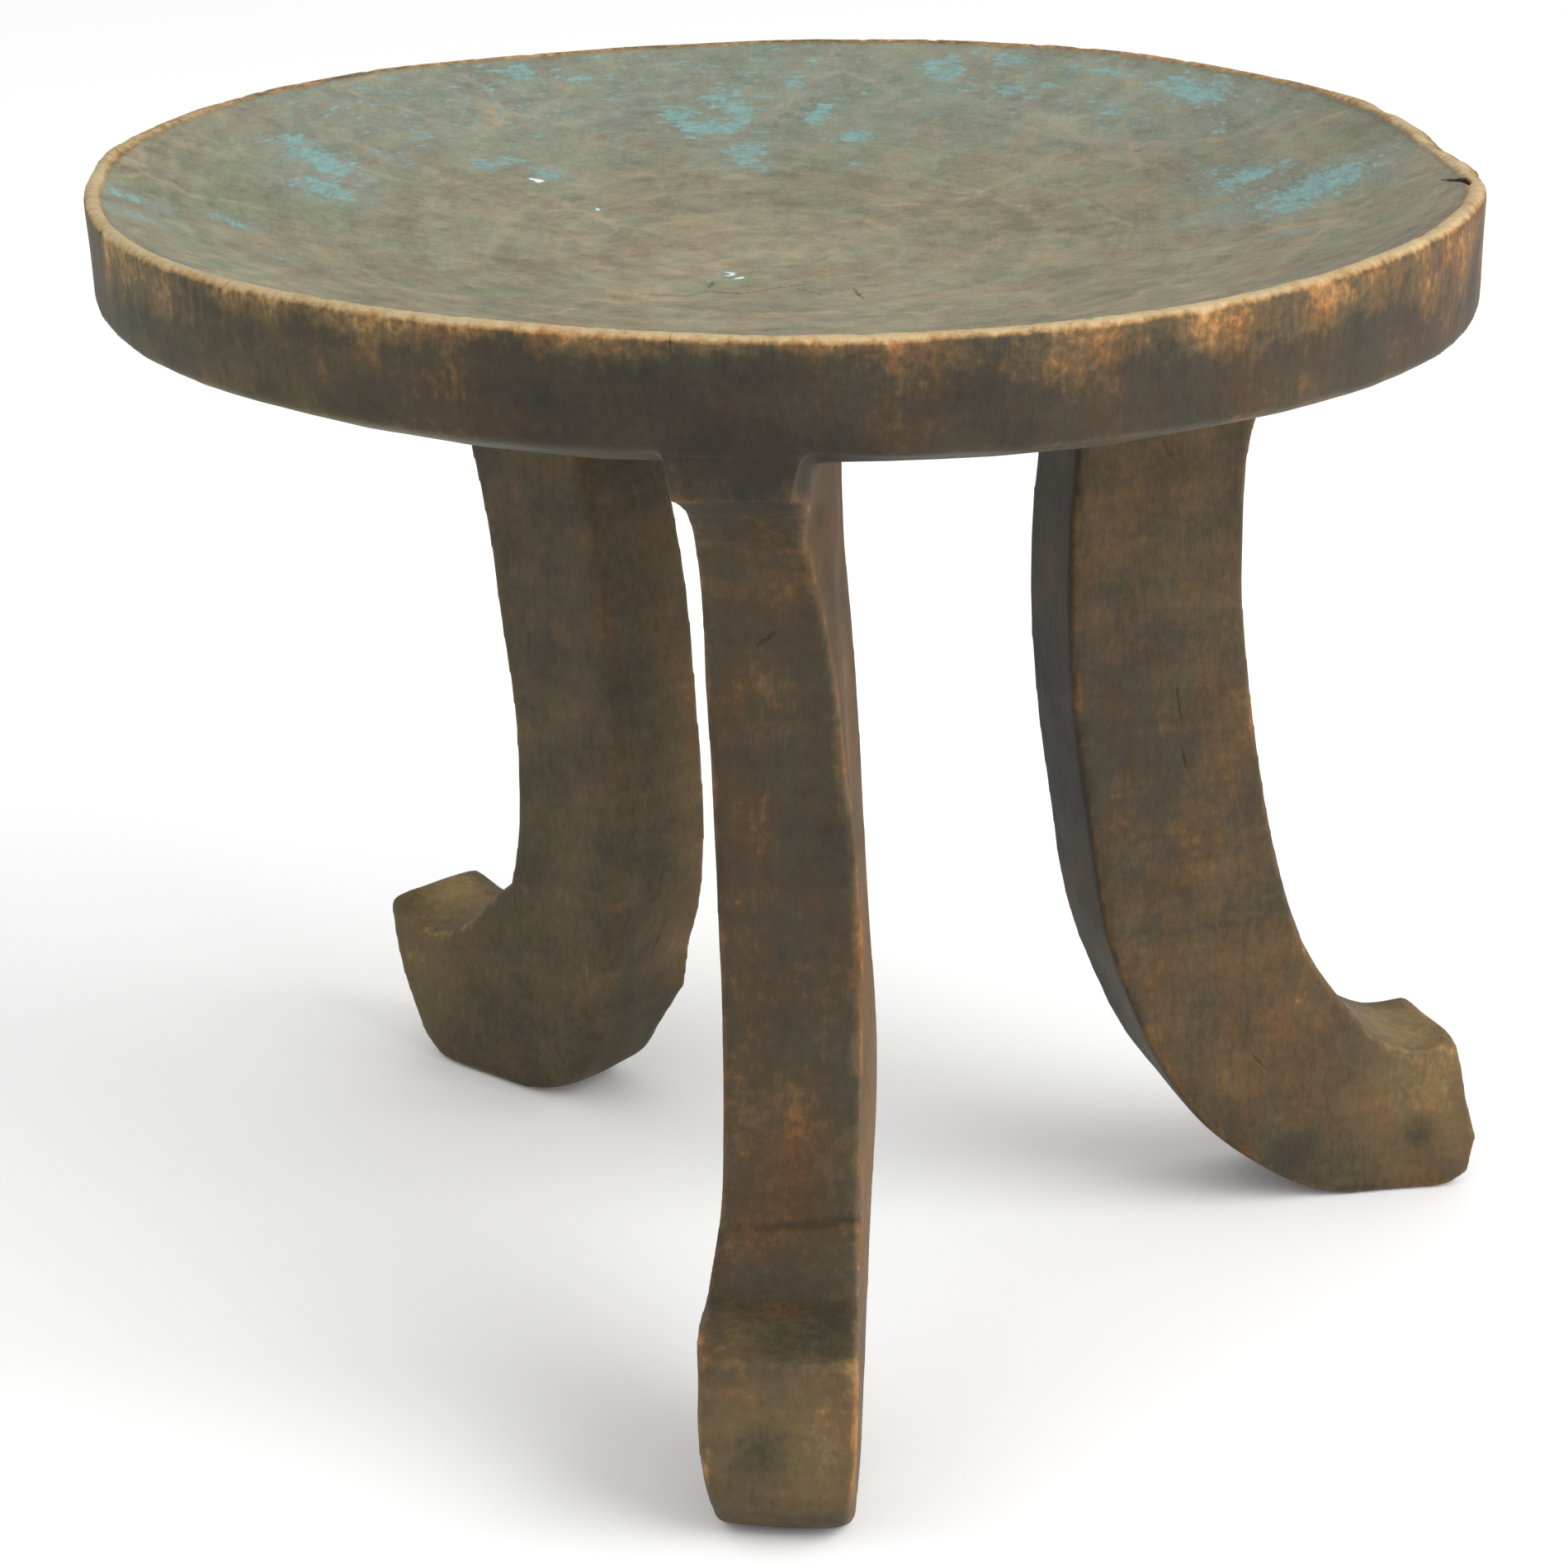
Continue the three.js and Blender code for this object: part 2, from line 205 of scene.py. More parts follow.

# Spots painted lighter (above 0) or darker, and redder (above 0) or greener: place, reach, light, warm.
# Most are the wood's own tone. The lighter spots over the right leg are painted light from the right.
# The darker spots on the inner face of the right leg and on the slope above the front toe are painted
# shade. The lighter strips down the right sides of the front and left legs are partly worn wood and
# partly painted light.
TONE_AND_PAINTED_LIGHT_SPOTS = (
    (-5, -178, 28, 20, 1.1, -0.1), (-9, -178, 26, 9, -0.9, 0), (6, -178, 24, 12, 0.35, 0),
    (-3, -136, 74, 12, 0.2, 0.8), (-4, -140, 56, 14, -0.35, 0.5), (-6, -128, 120, 50, -0.25, 0.2),
    (-6, -125, 190, 40, -0.1, 0.3), (24, -112, 60, 22, 0.5, 0.1),
    (24, -92, 100, 26, 0.3, 0.1), (22, -95, 150, 26, 0.1, 0.1), (14, -158, 255, 14, -0.3, 0.4),
    (18, -150, 36, 16, 0.5, 0.1), (163, 37, 41, 20, 1.4, -0.4), (170, 17, 22, 20, 0.9, 0.1),
    (168, 17, 16, 5, -0.9, 0), (133, 7, 14, 6, -0.6, 0), (92, 0, 190, 40, 0.3, 0.3),
    (97, 0, 120, 40, 0.22, 0.35), (118, 5, 50, 34, 0.35, 0.35), (72, 14, 130, 30, -0.6, -0.4),
    (-99, 135, 44, 18, 1.45, -0.4), (-112, 118, 22, 20, 0.5, -0.4), (-84, 92, 60, 40, 0.12, -0.3),
    (-23, 83, 120, 12, 0.8, 0.2), (-24, 84, 95, 12, 0.8, 0.2), (-24, 84, 70, 12, 0.8, 0.2),
    (-28, 88, 45, 12, 0.7, 0.2),
    (-29, 88, 155, 12, 0.6, 0.2), (-65, 95, 100, 90, 0.28, -0.15), (-20, -166, 262, 22, -0.6, 0),
    (5, -168, 262, 22, -0.6, 0), (-55, -158, 264, 26, -0.6, 0.1), (45, -160, 264, 24, -0.5, 0.2),
    (90, -140, 266, 26, -0.4, 0.2), (-110, -125, 266, 34, 0.05, -0.4), (-150, -75, 266, 34, 0.05, -0.6),
    (150, -80, 266, 34, -0.35, 0.4), (166, -35, 266, 30, 0, 0.4), (140, 60, 258, 40, -0.25, 0),
    (0, 130, 262, 60, -0.1, -0.3), (-120, 20, 262, 50, 0, -0.4),
    (-12, -168, 250, 16, -0.3, 0), (110, 40, 260, 50, -0.08, 0), (-120, 0, 262, 50, -0.05, -0.1),
    (0, 0, 258, 60, 0.1, 0),
)


class StoolSizes(PropertyGroup):
    """Sizes of the carving and of the wear"""

    grid: FloatProperty(
        name="Carving grid", description="Length of the small faces that the block is carved in",
        default=1.2 * MM, min=1 * MM, max=4 * MM, unit="LENGTH")
    rounding: IntProperty(
        name="Edge rounding", description="How often the edges were rubbed smooth",
        default=1, min=0, max=30)
    waviness: FloatProperty(
        name="Waviness", description="How far the faces wander from true",
        default=0.4 * MM, min=0, max=3 * MM, unit="LENGTH")
    tool_marks: FloatProperty(
        name="Tool marks", description="Depth of the hollows left by the blade",
        default=0.35 * MM, min=0, max=2 * MM, unit="LENGTH")
    nicks: FloatProperty(
        name="Nicks in the lip", description="Depth of the small nicks along the lip",
        default=0.25 * MM, min=0, max=3 * MM, unit="LENGTH")
    seat_faces: IntProperty(
        name="Faces of the seat", description="Number of triangles that the seat is thinned to",
        default=176000, min=20000, max=190000)


class StoolColours(PropertyGroup):
    """Colours of the wood and of what is left of the paint"""

    soot: FloatVectorProperty(
        name="Soot", description="Darkest skin of the wall and the legs",
        default=(0.0225, 0.0185, 0.0145), subtype="COLOR", min=0, max=1)
    smoke: FloatVectorProperty(
        name="Smoke", description="Usual skin of the wall and the legs",
        default=(0.0485, 0.0385, 0.0225), subtype="COLOR", min=0, max=1)
    brown: FloatVectorProperty(
        name="Brown", description="Skin that hands have worn thin",
        default=(0.120, 0.079, 0.0352), subtype="COLOR", min=0, max=1)
    tan: FloatVectorProperty(
        name="Tan", description="Wood where the skin is worn off",
        default=(0.300, 0.183, 0.072), subtype="COLOR", min=0, max=1)
    pale: FloatVectorProperty(
        name="Pale", description="Bare wood of the lip and of fresh chips",
        default=(0.440, 0.358, 0.206), subtype="COLOR", min=0, max=1)
    dish_dark: FloatVectorProperty(
        name="Dish, dark", description="Darker mottling of the dish",
        default=(0.138, 0.124, 0.082), subtype="COLOR", min=0, max=1)
    dish_light: FloatVectorProperty(
        name="Dish, light", description="Lighter mottling of the dish",
        default=(0.258, 0.232, 0.152), subtype="COLOR", min=0, max=1)
    vein: FloatVectorProperty(
        name="Veins", description="Pale veins in the dish",
        default=(0.370, 0.285, 0.180), subtype="COLOR", min=0, max=1)
    paint: FloatVectorProperty(
        name="Paint", description="What is left of the paint",
        default=(0.130, 0.245, 0.240), subtype="COLOR", min=0, max=1)
    haze: FloatVectorProperty(
        name="Haze", description="Thin film that the paint has left round its flakes",
        default=(0.165, 0.245, 0.228), subtype="COLOR", min=0, max=1)
    paint_light: FloatVectorProperty(
        name="Paint, light", description="Lightest touches of the paint",
        default=(0.205, 0.355, 0.345), subtype="COLOR", min=0, max=1)


# Handling of meshes


def only(*things):
    """Select these objects alone, the first of them as the one that is worked on."""
    bpy.ops.object.select_all(action="DESELECT")
    for thing in things:
        thing.select_set(True)
    bpy.context.view_layer.objects.active = things[0]


def edit(piece, *steps):
    """Run steps on a piece in edit mode, with all of it selected at first."""
    only(piece)
    bpy.ops.object.mode_set(mode="EDIT")
    bpy.ops.mesh.select_all(action="SELECT")
    for step in steps:
        step()
    bpy.ops.object.mode_set(mode="OBJECT")


def copy_of(node):
    """A new object with a merged copy of a node's mesh."""
    piece = bpy.data.objects.new("rough_" + node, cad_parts[node].data.copy())
    bpy.context.scene.collection.objects.link(piece)
    piece.data.materials.clear()
    edit(piece, lambda: bpy.ops.mesh.remove_doubles(threshold=0.01 * MM))
    return piece


def points_of(mesh):
    points = np.empty(len(mesh.vertices) * 3, np.float32)
    mesh.vertices.foreach_get("co", points)
    return points.reshape(-1, 3).astype(float)


def normals_of(mesh):
    normals = np.empty(len(mesh.vertices) * 3, np.float32)
    mesh.vertex_normals.foreach_get("vector", normals)
    return normals.reshape(-1, 3).astype(float)


def move_points(mesh, points):
    mesh.vertices.foreach_set("co", points.astype(np.float32).ravel())
    mesh.update()


def edges_of(mesh):
    edges = np.empty(len(mesh.edges) * 2, np.int32)
    mesh.edges.foreach_get("vertices", edges)
    return edges.reshape(-1, 2)


def middles_of(mesh):
    middles = np.empty(len(mesh.polygons) * 3, np.float32)
    mesh.polygons.foreach_get("center", middles)
    return middles.reshape(-1, 3).astype(float)


def select_faces(piece, chosen):
    only(piece)
    bpy.ops.object.mode_set(mode="EDIT")
    bpy.ops.mesh.select_mode(type="FACE")
    bpy.ops.mesh.select_all(action="DESELECT")
    bpy.ops.object.mode_set(mode="OBJECT")
    piece.data.polygons.foreach_set("select", chosen)
    bpy.ops.object.mode_set(mode="EDIT")


def apply_modifier(piece, kind, **settings):
    only(piece)
    modifier = piece.modifiers.new(kind.title(), kind)
    for name, value in settings.items():
        setattr(modifier, name, value)
    bpy.ops.object.modifier_apply(modifier=modifier.name)


def tree_of(mesh):
    return BVHTree.FromPolygons([v.co for v in mesh.vertices], [p.vertices for p in mesh.polygons])


def close_up(piece):
    """Close the open ends of a piece by fans, turn it all to triangles and its faces outward."""
    edit(
        piece,
        lambda: bpy.ops.mesh.select_mode(type="EDGE"),
        lambda: bpy.ops.mesh.select_all(action="DESELECT"),
        lambda: bpy.ops.mesh.select_non_manifold(extend=False, use_multi_face=False, use_verts=False),
        bpy.ops.mesh.extrude_edges_move,
        lambda: bpy.ops.mesh.merge(type="COLLAPSE"),
        lambda: bpy.ops.mesh.select_all(action="SELECT"),
        lambda: bpy.ops.mesh.quads_convert_to_tris(quad_method="BEAUTY", ngon_method="BEAUTY"),
        lambda: bpy.ops.mesh.normals_make_consistent(inside=False))


def check_closed(piece):
    """Raise if an edge of the piece doesn't lie between two faces."""
    mesh = piece.data
    uses = np.zeros(len(mesh.loops), np.int32)
    mesh.loops.foreach_get("edge_index", uses)
    if not (np.bincount(uses, minlength=len(mesh.edges)) == 2).all():
        raise RuntimeError(piece.name + " is not closed")


# Unevenness by hand


def cell_value(cell, seed):
    """A value from 0 to 1 that is always the same for the same cell."""
    mixed = cell @ np.array([12.9898, 78.233, 37.719]) + seed * 4.1414
    return np.modf(np.abs(np.sin(mixed)) * 43758.5453)[0]


def unevenness(points, size, seed):
    """Smooth bumps of about this size, from -1 to 1."""
    place = points / size
    cell = np.floor(place)
    part = place - cell
    ease = part * part * (3 - 2 * part)
    total = np.zeros(len(points))
    for corner in itertools.product((0, 1), repeat=3):
        weight = np.prod(np.where(corner, ease, 1 - ease), axis=1)
        total += weight * cell_value(cell + corner, seed)
    return total * 2 - 1


def blade_hollows(points, size, seed):
    """Shallow hollows that meet in ridges, as a blade leaves them, from 0 up to about 1."""
    cell = np.floor(points / size)
    nearest = np.full(len(points), np.inf)
    for step in itertools.product((-1, 0, 1), repeat=3):
        near = cell + step
        shift = np.stack([cell_value(near, seed + k) for k in range(3)], axis=1)
        distance = ((points / size - near - shift) ** 2).sum(axis=1)
        nearest = np.minimum(nearest, distance)
    return nearest


def smooth_step(value, low, high):
    share = np.clip((value - low) / (high - low), 0, 1)
    return share * share * (3 - 2 * share)


def soft_spot(place, spot, reach):
    """1 at the spot, falling off to nearly nothing at about twice its reach."""
    return np.exp(-(((place - np.array(spot)) / reach) ** 2).sum(axis=1))


def beside_line(place, corners):
    """The distance of each point from a line of corners, and what the corners carry at that spot."""
    corners = np.array(corners, float)
    away, carried = np.full(len(place), np.inf), np.zeros((len(place), corners.shape[1] - 3))
    for start, end in zip(corners, corners[1:]):
        way = (end - start)[:3]
        share = np.clip((place - start[:3]) @ way / (way @ way), 0, 1)[:, None]
        gap = np.linalg.norm(place - start[:3] - share * way, axis=1)
        nearer = gap < away
        away[nearer] = gap[nearer]
        carried[nearer] = (start[3:] + share * (end - start)[3:])[nearer]
    return away, carried


def rubbed(points, edges, times):
    """The points after each has gone half way to the middle of its neighbours, some times over."""
    count = np.bincount(edges.ravel(), minlength=len(points))[:, None]
    for _ in range(times):
        total = np.stack([
            np.bincount(edges[:, 0], points[edges[:, 1], axis], len(points))
            + np.bincount(edges[:, 1], points[edges[:, 0], axis], len(points))
            for axis in range(3)], axis=1)
        points = (points + total / count) / 2
    return points


def in_mm(points):
    """Places in millimetres from the middle of the seat, as in the lists of marks."""
    return (points - np.array(SEAT_MIDDLE)) / MM


def heading_of(place):
    """The heading of each place, in degrees from the right of the seat round by the back."""
    return np.degrees(np.arctan2(place[:, 1], place[:, 0])) % 360


def below_lip(place):
    """How far each point lies under the lip, where its heading crosses it."""
    ring = np.hypot(place[:, 0], place[:, 1]) > 150
    top = np.full(72, 280.0)
    np.maximum.at(top, (heading_of(place[ring]) // 5).astype(int), place[ring, 2])
    middle = np.arange(-1, 73) * 5 + 2.5
    return np.interp(heading_of(place), middle, top[np.arange(-1, 73) % 72]) - place[:, 2]


def cut_lines(piece, lines):
    """Cut cracks and scratches into a piece along lines laid on its surface."""
    mesh = piece.data
    tree = tree_of(mesh)
    middle = np.array(SEAT_MIDDLE)
    laid = []
    for half_width, depth, corners in lines:
        corners = np.array(corners, float)
        length = np.append(0, np.cumsum(np.linalg.norm(np.diff(corners, axis=0), axis=1)))
        along = np.arange(0, length[-1], 0.25)
        steps = np.stack([np.interp(along, length, corners[:, k]) for k in range(3)], axis=1)
        steps += 0.35 * np.stack([unevenness(steps, 2.5, 30 + k) for k in range(3)], axis=1)
        found = [tree.find_nearest(Vector(step * MM + middle)) for step in steps]
        if max(hit[3] for hit in found) < 9 * MM:
            ends = np.sqrt(np.sin(np.pi * (along + 0.5) / (length[-1] + 1)).clip(0))
            steps = np.array([in_mm(np.array(hit[0])) for hit in found])
            laid.append((steps, half_width * ends, depth * ends))

    def nearest(place):
        cut = np.zeros(len(place))
        reach = np.full(len(place), np.inf)
        for steps, widths, depths in laid:
            low, high = steps.min(axis=0) - 4, steps.max(axis=0) + 4
            inside = np.where(((place > low) & (place < high)).all(axis=1))[0]
            away = np.linalg.norm(place[inside, None] - steps[None], axis=2)
            best = away.argmin(axis=1)
            gap = away[np.arange(len(inside)), best]
            reach[inside] = np.minimum(reach[inside], gap)
            share = np.clip(1 - gap / (widths[best] + 0.15), 0, 1)
            cut[inside] = np.maximum(cut[inside], share * depths[best])
        return cut, reach

    if laid:
        select_faces(piece, nearest(in_mm(middles_of(mesh)))[1] < 1.9)
        bpy.ops.mesh.subdivide(number_cuts=3)
        bpy.ops.mesh.select_all(action="SELECT")
        bpy.ops.mesh.quads_convert_to_tris(quad_method="BEAUTY", ngon_method="BEAUTY")
        bpy.ops.object.mode_set(mode="OBJECT")
    points = points_of(mesh)
    cut, _ = nearest(in_mm(points))
    move_points(mesh, points - normals_of(mesh) * cut[:, None] * MM)
    return cut


# Where the wood is worn, painted, toned and darkened, and where light, shade and sheen are painted on
# it


def write_mask(mesh, name, values):
    mask = mesh.attributes.new(name, "FLOAT", "POINT")
    mask.data.foreach_set("value", np.clip(values, -2, 2).astype(np.float32))


def mark_wood(piece, cut):
    """Write down for each point of a piece how light and warm it is (its own tone, and painted light
    and shade on the legs), how worn, pale and painted it is, where the painted sheen falls under the
    seat, and how far its hollows and cut lines are darkened.
    """
    mesh = piece.data
    place, normals = in_mm(points_of(mesh)), normals_of(mesh)
    heading, radius = heading_of(place), np.hypot(place[:, 0], place[:, 1])
    bulge = np.empty(len(place), np.float32)
    mesh.attributes["bulge"].data.foreach_get("value", bulge)
    edge = smooth_step(bulge, 0.28, 0.85)
    for reach, corners in SMOOTH_EDGES:
        edge *= 1 - np.exp(-(beside_line(place, corners)[0] / reach / 1.5) ** 2)
    for reach, strength, corners in WORN_EDGES:
        edge = np.maximum(edge, strength * np.exp(-(beside_line(place, corners)[0] / reach) ** 2))
    # Painted reflection: the underside just below the wall foot, which the material paints paler and
    # greyer for the white floor mirrored in it
    under = smooth_step(-normals[:, 2], 0.25, 0.6) * smooth_step(place[:, 2], 246, 252)
    under *= 1 - soft_spot(place, (10, -158, 252), 26)
    hollow = smooth_step(-bulge, 0.08, 0.6)
    light, warm = np.zeros(len(place)), np.zeros(len(place))
    # Spots of the wood's own tone, and spots of painted light and shade on the legs
    for *spot, reach, lighter, warmer in TONE_AND_PAINTED_LIGHT_SPOTS:
        share = soft_spot(place, spot, reach)
        light += share * lighter
        warm += share * warmer
    # Painted light and shade on whole faces turned towards or away from the light on the right
    for name, way, lighter, warmer in PAINTED_FACE_LIGHT:
        if piece.name.endswith(name):
            share = smooth_step(normals @ (np.array(way) / np.linalg.norm(way)), 0.5, 0.85)
            light += share * lighter
            warm += share * warmer
    worn, pale, dish, paint = np.zeros((4, len(place)))
    if piece.name.endswith(SEAT):
        below = below_lip(place)
        top = smooth_step(normals[:, 2], 0.15, 0.5) * (below < 60)
        dish = top * (1 - smooth_step(radius, 165.5, 167)) * smooth_step(normals[:, 2], 0.3, 0.6)
        back = smooth_step(np.sin(np.radians(heading)), 0, 0.8)
        front = smooth_step(-np.sin(np.radians(heading)), 0.1, 0.7)
        chip = np.exp(-(((heading + 172) % 360 - 180) / 22) ** 2)
        pale = smooth_step(radius + 1.9 * front - 0.6 * back + 2.6 * chip, 162.6, 166)
        pale *= (1 - smooth_step(below, 0.2, 2.6)) * (1 - 0.45 * back * (1 - chip))
        for direction, half, depth, strength in WALL_WEAR:
            turn = (heading - direction + 180) % 360 - 180
            share = np.exp(-(turn / half) ** 2) * smooth_step(radius, 163, 166)
            fade = 1 - smooth_step(below, 0.1 * depth, 1.3 * depth)
            worn = np.maximum(worn, share * strength * fade)
        for x, y, long, wide, cover in PAINT:
            turn = math.atan2(y, x)
            along = (place[:, 1] - y) * math.cos(turn) - (place[:, 0] - x) * math.sin(turn)
            out = (place[:, 0] - x) * math.cos(turn) + (place[:, 1] - y) * math.sin(turn)
            away = (along / long / PATCH_SPREAD) ** 2 + (out / wide / PATCH_SPREAD) ** 2
            paint = np.maximum(paint, cover * np.maximum(np.exp(-away), 0.66 * np.exp(-away / 4.5)))
        spread = 0.36 * smooth_step(place[:, 1], 10, 110) * smooth_step(radius, 50, 110)
        spread += 0.16 * smooth_step(radius, 90, 150)
        for x, y in WHITE_SPECKS:
            paint += 2 * (np.hypot(place[:, 0] - x, place[:, 1] - y) < 1.2) * dish
        paint = np.maximum(paint, spread) * dish
    # Darker in the hollows of the surface and along the cut lines
    dirt = np.maximum(hollow * 0.45, smooth_step(cut, 0.1, 1.1))
    for name, values in (
        ("light", light), ("warm", warm), ("worn", worn), ("pale", pale), ("dish", dish),
        ("paint", paint), ("edge", edge), ("under", under), ("dirt", dirt),
    ):
        write_mask(mesh, name, values)


# The wood


class Wire:
    """A number or a colour inside a material, which can be reckoned with like a plain one."""

    def __init__(self, nodes, socket):
        self.nodes, self.socket = nodes, socket

    def reckon(self, operation, other, flipped=False):
        pair = (other, self) if flipped else (self, other)
        numbers = all(
            one.socket.type == "VALUE" if isinstance(one, Wire) else not isinstance(one, tuple)
            for one in pair)
        kind = "ShaderNodeMath" if numbers else "ShaderNodeVectorMath"
        return self.nodes.add(kind, {"operation": operation}, {0: pair[0], 1: pair[1]})

    def __add__(self, other):
        return self.reckon("ADD", other)

    def __sub__(self, other):
        return self.reckon("SUBTRACT", other)

    def __rsub__(self, other):
        return self.reckon("SUBTRACT", other, True)

    def __mul__(self, other):
        return self.reckon("MULTIPLY", other)

    def __truediv__(self, other):
        return self.reckon("DIVIDE", other)

    def __rtruediv__(self, other):
        return self.reckon("DIVIDE", other, True)

    def __pow__(self, other):
        return self.reckon("POWER", other)

    def __rpow__(self, other):
        return self.reckon("POWER", other, True)

    __radd__, __rmul__ = __add__, __mul__

    def step(self, low, high):
        """0 up to low, 1 from high on and an even slope between."""
        return self.nodes.add(
            "ShaderNodeMapRange", {}, {"Value": self, "From Min": low, "From Max": high})

    def between(self, low, high):
        """The low colour where this is 0, the high one where it is 1."""
        return self.nodes.add("ShaderNodeMix", {"data_type": "RGBA"}, {0: self, 6: low, 7: high}, 2)


class Nodes:
    """The nodes of one material."""

    def __init__(self, name):
        self.material = bpy.data.materials.new(name)
        self.material.use_nodes = True
        self.tree = self.material.node_tree
        self.surface = self.tree.nodes["Principled BSDF"]

    def put(self, socket, value):
        if isinstance(value, Wire):
            self.tree.links.new(value.socket, socket)
        elif socket.type in ("VECTOR", "RGBA"):
            value = tuple(value) if hasattr(value, "__len__") else (value,) * 3
            socket.default_value = value + (1,) * (len(socket.default_value) - len(value))
        else:
            socket.default_value = value

    def add(self, kind, settings, inputs, output=0):
        node = self.tree.nodes.new(kind)
        for name, value in settings.items():
            setattr(node, name, value)
        for name, value in inputs.items():
            self.put(node.inputs[name], value)
        return Wire(self, node.outputs[output])

    def mask(self, name):
        return self.add("ShaderNodeAttribute", {"attribute_name": name}, {}, 2)

    def noise(self, place, detail=3, rough=0.55):
        """Noise from about -1 to 1."""
        inputs = {"Vector": place, "Scale": 1, "Detail": detail, "Roughness": rough}
        return (self.add("ShaderNodeTexNoise", {}, inputs) - 0.5) * 4


def dish_colour(nodes, place, colours):
    """The mottled wood of the dish, with its growth rings and pale veins."""
    soft, fine = nodes.noise(place * 0.045, 3), nodes.noise(place * 0.16, 4, 0.65)
    grain = nodes.noise(place * (0.7, 0.7, 0.7), 2)
    away = nodes.add(
        "ShaderNodeVectorMath", {"operation": "LENGTH"},
        {0: (place - (-4.6, 27.5, 262)) * (1, 1, 0)}, 1)
    rings = nodes.noise(
        nodes.add("ShaderNodeCombineXYZ", {}, {0: away * 0.16 + soft * 0.5}), 3, 0.6)
    shade = 0.5 + soft * 0.36 + fine * 0.4 + rings * 0.34 + grain * 0.22
    wood = shade.step(0, 1).between(colours.dish_dark, colours.dish_light)
    hue = nodes.noise((place + (31, 17, 5)) * 0.06, 5, 0.65)
    wood = hue.step(0, 0.9).between(wood, wood * (1.14, 0.95, 0.82))
    wood = hue.step(0, -0.9).between(wood, wood * (0.87, 1.04, 0.88))
    bent = place + nodes.add(
        "ShaderNodeTexNoise", {}, {"Vector": place * 0.05, "Scale": 1, "Detail": 4}, 1) * (26, 26, 0)
    net = nodes.add(
        "ShaderNodeTexVoronoi", {"feature": "DISTANCE_TO_EDGE"}, {"Vector": bent / 38, "Scale": 1})
    vein = 1 - net.step(0, 0.05)
    vein = vein * nodes.noise((place + (70, 0, 0)) * 0.03, 2).step(-0.3, 0.7) * fine.step(-0.9, 0.4)
    return (vein * 0.62).between(wood, colours.vein)


def skin_colour(nodes, bare, warm, colours):
    """The smoke-browned skin, lighter and browner the more it is worn, up to bare wood at 1."""
    skin = bare.step(0, 0.25).between(colours.soot, colours.smoke)
    skin = bare.step(0.25, 0.5).between(skin, colours.brown)
    skin = bare.step(0.5, 0.75).between(skin, colours.tan)
    skin = bare.step(0.75, 1).between(skin, colours.pale)
    skin = warm.step(0, 1).between(skin, skin * (1.3, 0.88, 0.62))
    return warm.step(0, -1).between(skin, skin * (0.87, 1.05, 0.97))


